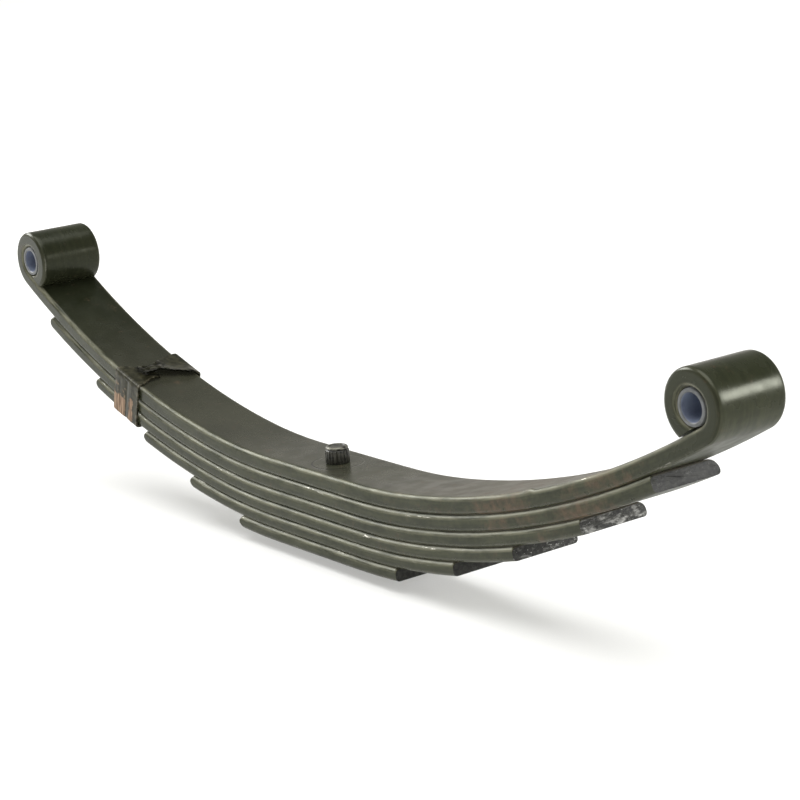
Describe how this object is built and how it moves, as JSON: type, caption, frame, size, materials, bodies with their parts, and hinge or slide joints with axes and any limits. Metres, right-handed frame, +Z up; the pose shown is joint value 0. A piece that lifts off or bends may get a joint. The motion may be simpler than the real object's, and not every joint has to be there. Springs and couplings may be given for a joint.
{
  "type": "leaf spring",
  "caption": "Graduated steel leaf spring with an upturned rolled eye at each end, plain eye bushings, a centre bolt and a rebound clip; both arms flatten under load.",
  "frame": {"origin": "bottom centre of the whole spring's bounding box", "axes": "+X along the spring from the eye nearest the rebound clip to the other eye, +Y across the leaves, +Z up, towards the side the eyes curl to"},
  "size_m": [0.7002, 0.0484, 0.1699],
  "materials": {
    "spring_steel": "thin dark olive-black paint, semi-gloss, worn to rust and bare steel at edges",
    "clip_steel": "dark paint worn to brown rust on the leg",
    "fastener_steel": "dark paint over steel, lighter worn rim",
    "bushing_nylon": "off-white nylon, satin"
  },
  "bodies": {
    "leaf_pack": {"main_leaf": "spring_steel", "leaf_2": "spring_steel", "leaf_3": "spring_steel", "leaf_4": "spring_steel", "leaf_5": "spring_steel", "leaf_6": "spring_steel", "centre_bolt": "fastener_steel", "centre_nut": "fastener_steel", "rebound_clip": "clip_steel"},
    "front_end": {"front_bushing": "bushing_nylon"},
    "rear_end": {"rear_bushing": "bushing_nylon"}
  },
  "joints": [
    {"name": "front_flex", "type": "hinge", "parent": "leaf_pack", "child": "front_end", "pos_m": [-0.0056, 0, 0.0541], "axis": [0, -1, 0], "range_deg": [0, 6], "stiffness_Nm_per_rad": 28000, "deforming": ["main_leaf", "leaf_2", "leaf_3", "leaf_4", "leaf_5", "leaf_6", "rebound_clip"]},
    {"name": "rear_flex", "type": "hinge", "parent": "front_end", "child": "rear_end", "pos_m": [-0.0056, 0, 0.0541], "axis": [0, -1, 0], "range_deg": [-12, 0]}
  ],
  "couplings": [
    {"joint": "rear_flex", "follows": "front_flex", "ratio": -2}
  ]
}
